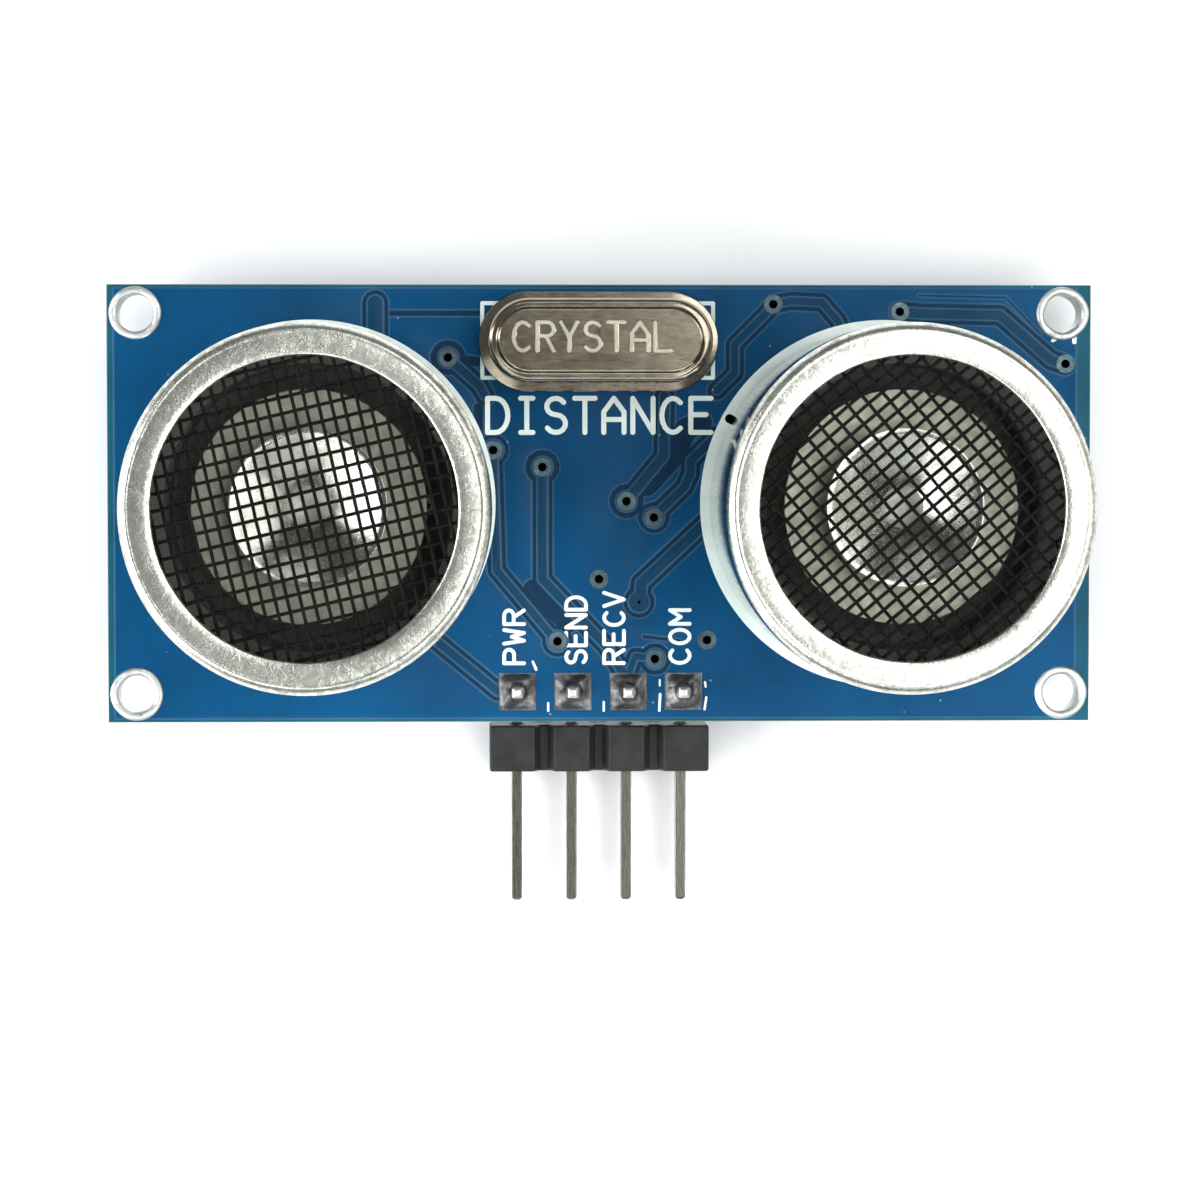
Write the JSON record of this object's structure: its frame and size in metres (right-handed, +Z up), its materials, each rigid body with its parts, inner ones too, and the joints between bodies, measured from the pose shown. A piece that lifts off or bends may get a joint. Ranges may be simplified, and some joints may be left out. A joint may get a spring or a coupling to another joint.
{
  "type": "ultrasonic distance sensor",
  "caption": "Blue circuit board carrying ultrasonic transmitter and receiver cans with mesh fronts, a quartz crystal, driving circuit behind and a right-angle pin header.",
  "frame": {"origin": "middle of the four corner holes, on the board's front face", "axes": "+X along the board, +Z up the board away from the pin header, the cans face -Y"},
  "size_m": [0.045, 0.0164, 0.0285],
  "materials": {
    "laminate": "blue solder resist over glass-epoxy laminate",
    "tinned_copper": "bright tinned copper",
    "solder": "dull cooled solder",
    "can_metal": "drawn can, finely scratched satin lip",
    "mesh_wire": "black woven wire",
    "cone_metal": "bright spun metal",
    "plate_metal": "grey anodised plate",
    "piezo_ceramic": "fired and silvered ceramic",
    "soft_ring": "white silicone",
    "base_plastic": "black moulded plastic",
    "sealant": "dark cured resin",
    "terminal_metal": "tinned terminal",
    "lead_wire": "bare copper wire",
    "crystal_metal": "warm nickel plate, lightly brushed",
    "seal_glass": "green-grey sealing glass",
    "quartz": "ground quartz with silvered middle",
    "clip_metal": "spring clips",
    "header_plastic": "black moulded strip",
    "pin_metal": "tinned square pin",
    "chip_moulding": "fine-textured black epoxy",
    "chip_lead": "tinned leads",
    "silicon": "bare silicon",
    "resistor_ceramic": "black glazed film on white ceramic",
    "capacitor_ceramic": "tan ceramic",
    "end_cap": "tinned end caps"
  },
  "bodies": {
    "root": {"circuit_board": "laminate", "corner_hole_rings": "tinned_copper", "via_barrels": "tinned_copper", "lead_hole_rings": "tinned_copper", "crystal_can": "crystal_metal", "crystal_base": "crystal_metal", "crystal_glass_seals": "seal_glass", "crystal_leads": "terminal_metal", "quartz_blank": "quartz", "quartz_clips": "clip_metal", "header_body": "header_plastic", "header_pin_supply": "pin_metal", "header_pin_trigger": "pin_metal", "header_pin_echo": "pin_metal", "header_pin_ground": "pin_metal", "header_solder": "solder", "transducer_solder": "solder", "crystal_solder": "solder", "driver_body": "chip_moulding", "driver_leads": "chip_lead", "driver_die": "silicon", "controller_body": "chip_moulding", "controller_leads": "chip_lead", "controller_die": "silicon", "amplifier_body": "chip_moulding", "amplifier_leads": "chip_lead", "amplifier_die": "silicon", "transistor_body": "chip_moulding", "transistor_leads": "chip_lead", "transistor_die": "silicon", "resistor_bodies": "resistor_ceramic", "resistor_ends": "end_cap", "capacitor_bodies": "capacitor_ceramic", "capacitor_ends": "end_cap", "transmitter_case": "can_metal", "transmitter_mesh": "mesh_wire", "transmitter_cone": "cone_metal", "transmitter_plate": "plate_metal", "transmitter_piezo_disc": "piezo_ceramic", "transmitter_support_ring": "soft_ring", "transmitter_base": "base_plastic", "transmitter_sealant": "sealant", "transmitter_terminal_live": "terminal_metal", "transmitter_terminal_ground": "terminal_metal", "transmitter_wire_live": "lead_wire", "transmitter_wire_ground": "lead_wire", "receiver_case": "can_metal", "receiver_mesh": "mesh_wire", "receiver_cone": "cone_metal", "receiver_plate": "plate_metal", "receiver_piezo_disc": "piezo_ceramic", "receiver_support_ring": "soft_ring", "receiver_base": "base_plastic", "receiver_sealant": "sealant", "receiver_terminal_live": "terminal_metal", "receiver_terminal_ground": "terminal_metal", "receiver_wire_live": "lead_wire", "receiver_wire_ground": "lead_wire"}
  },
  "joints": []
}
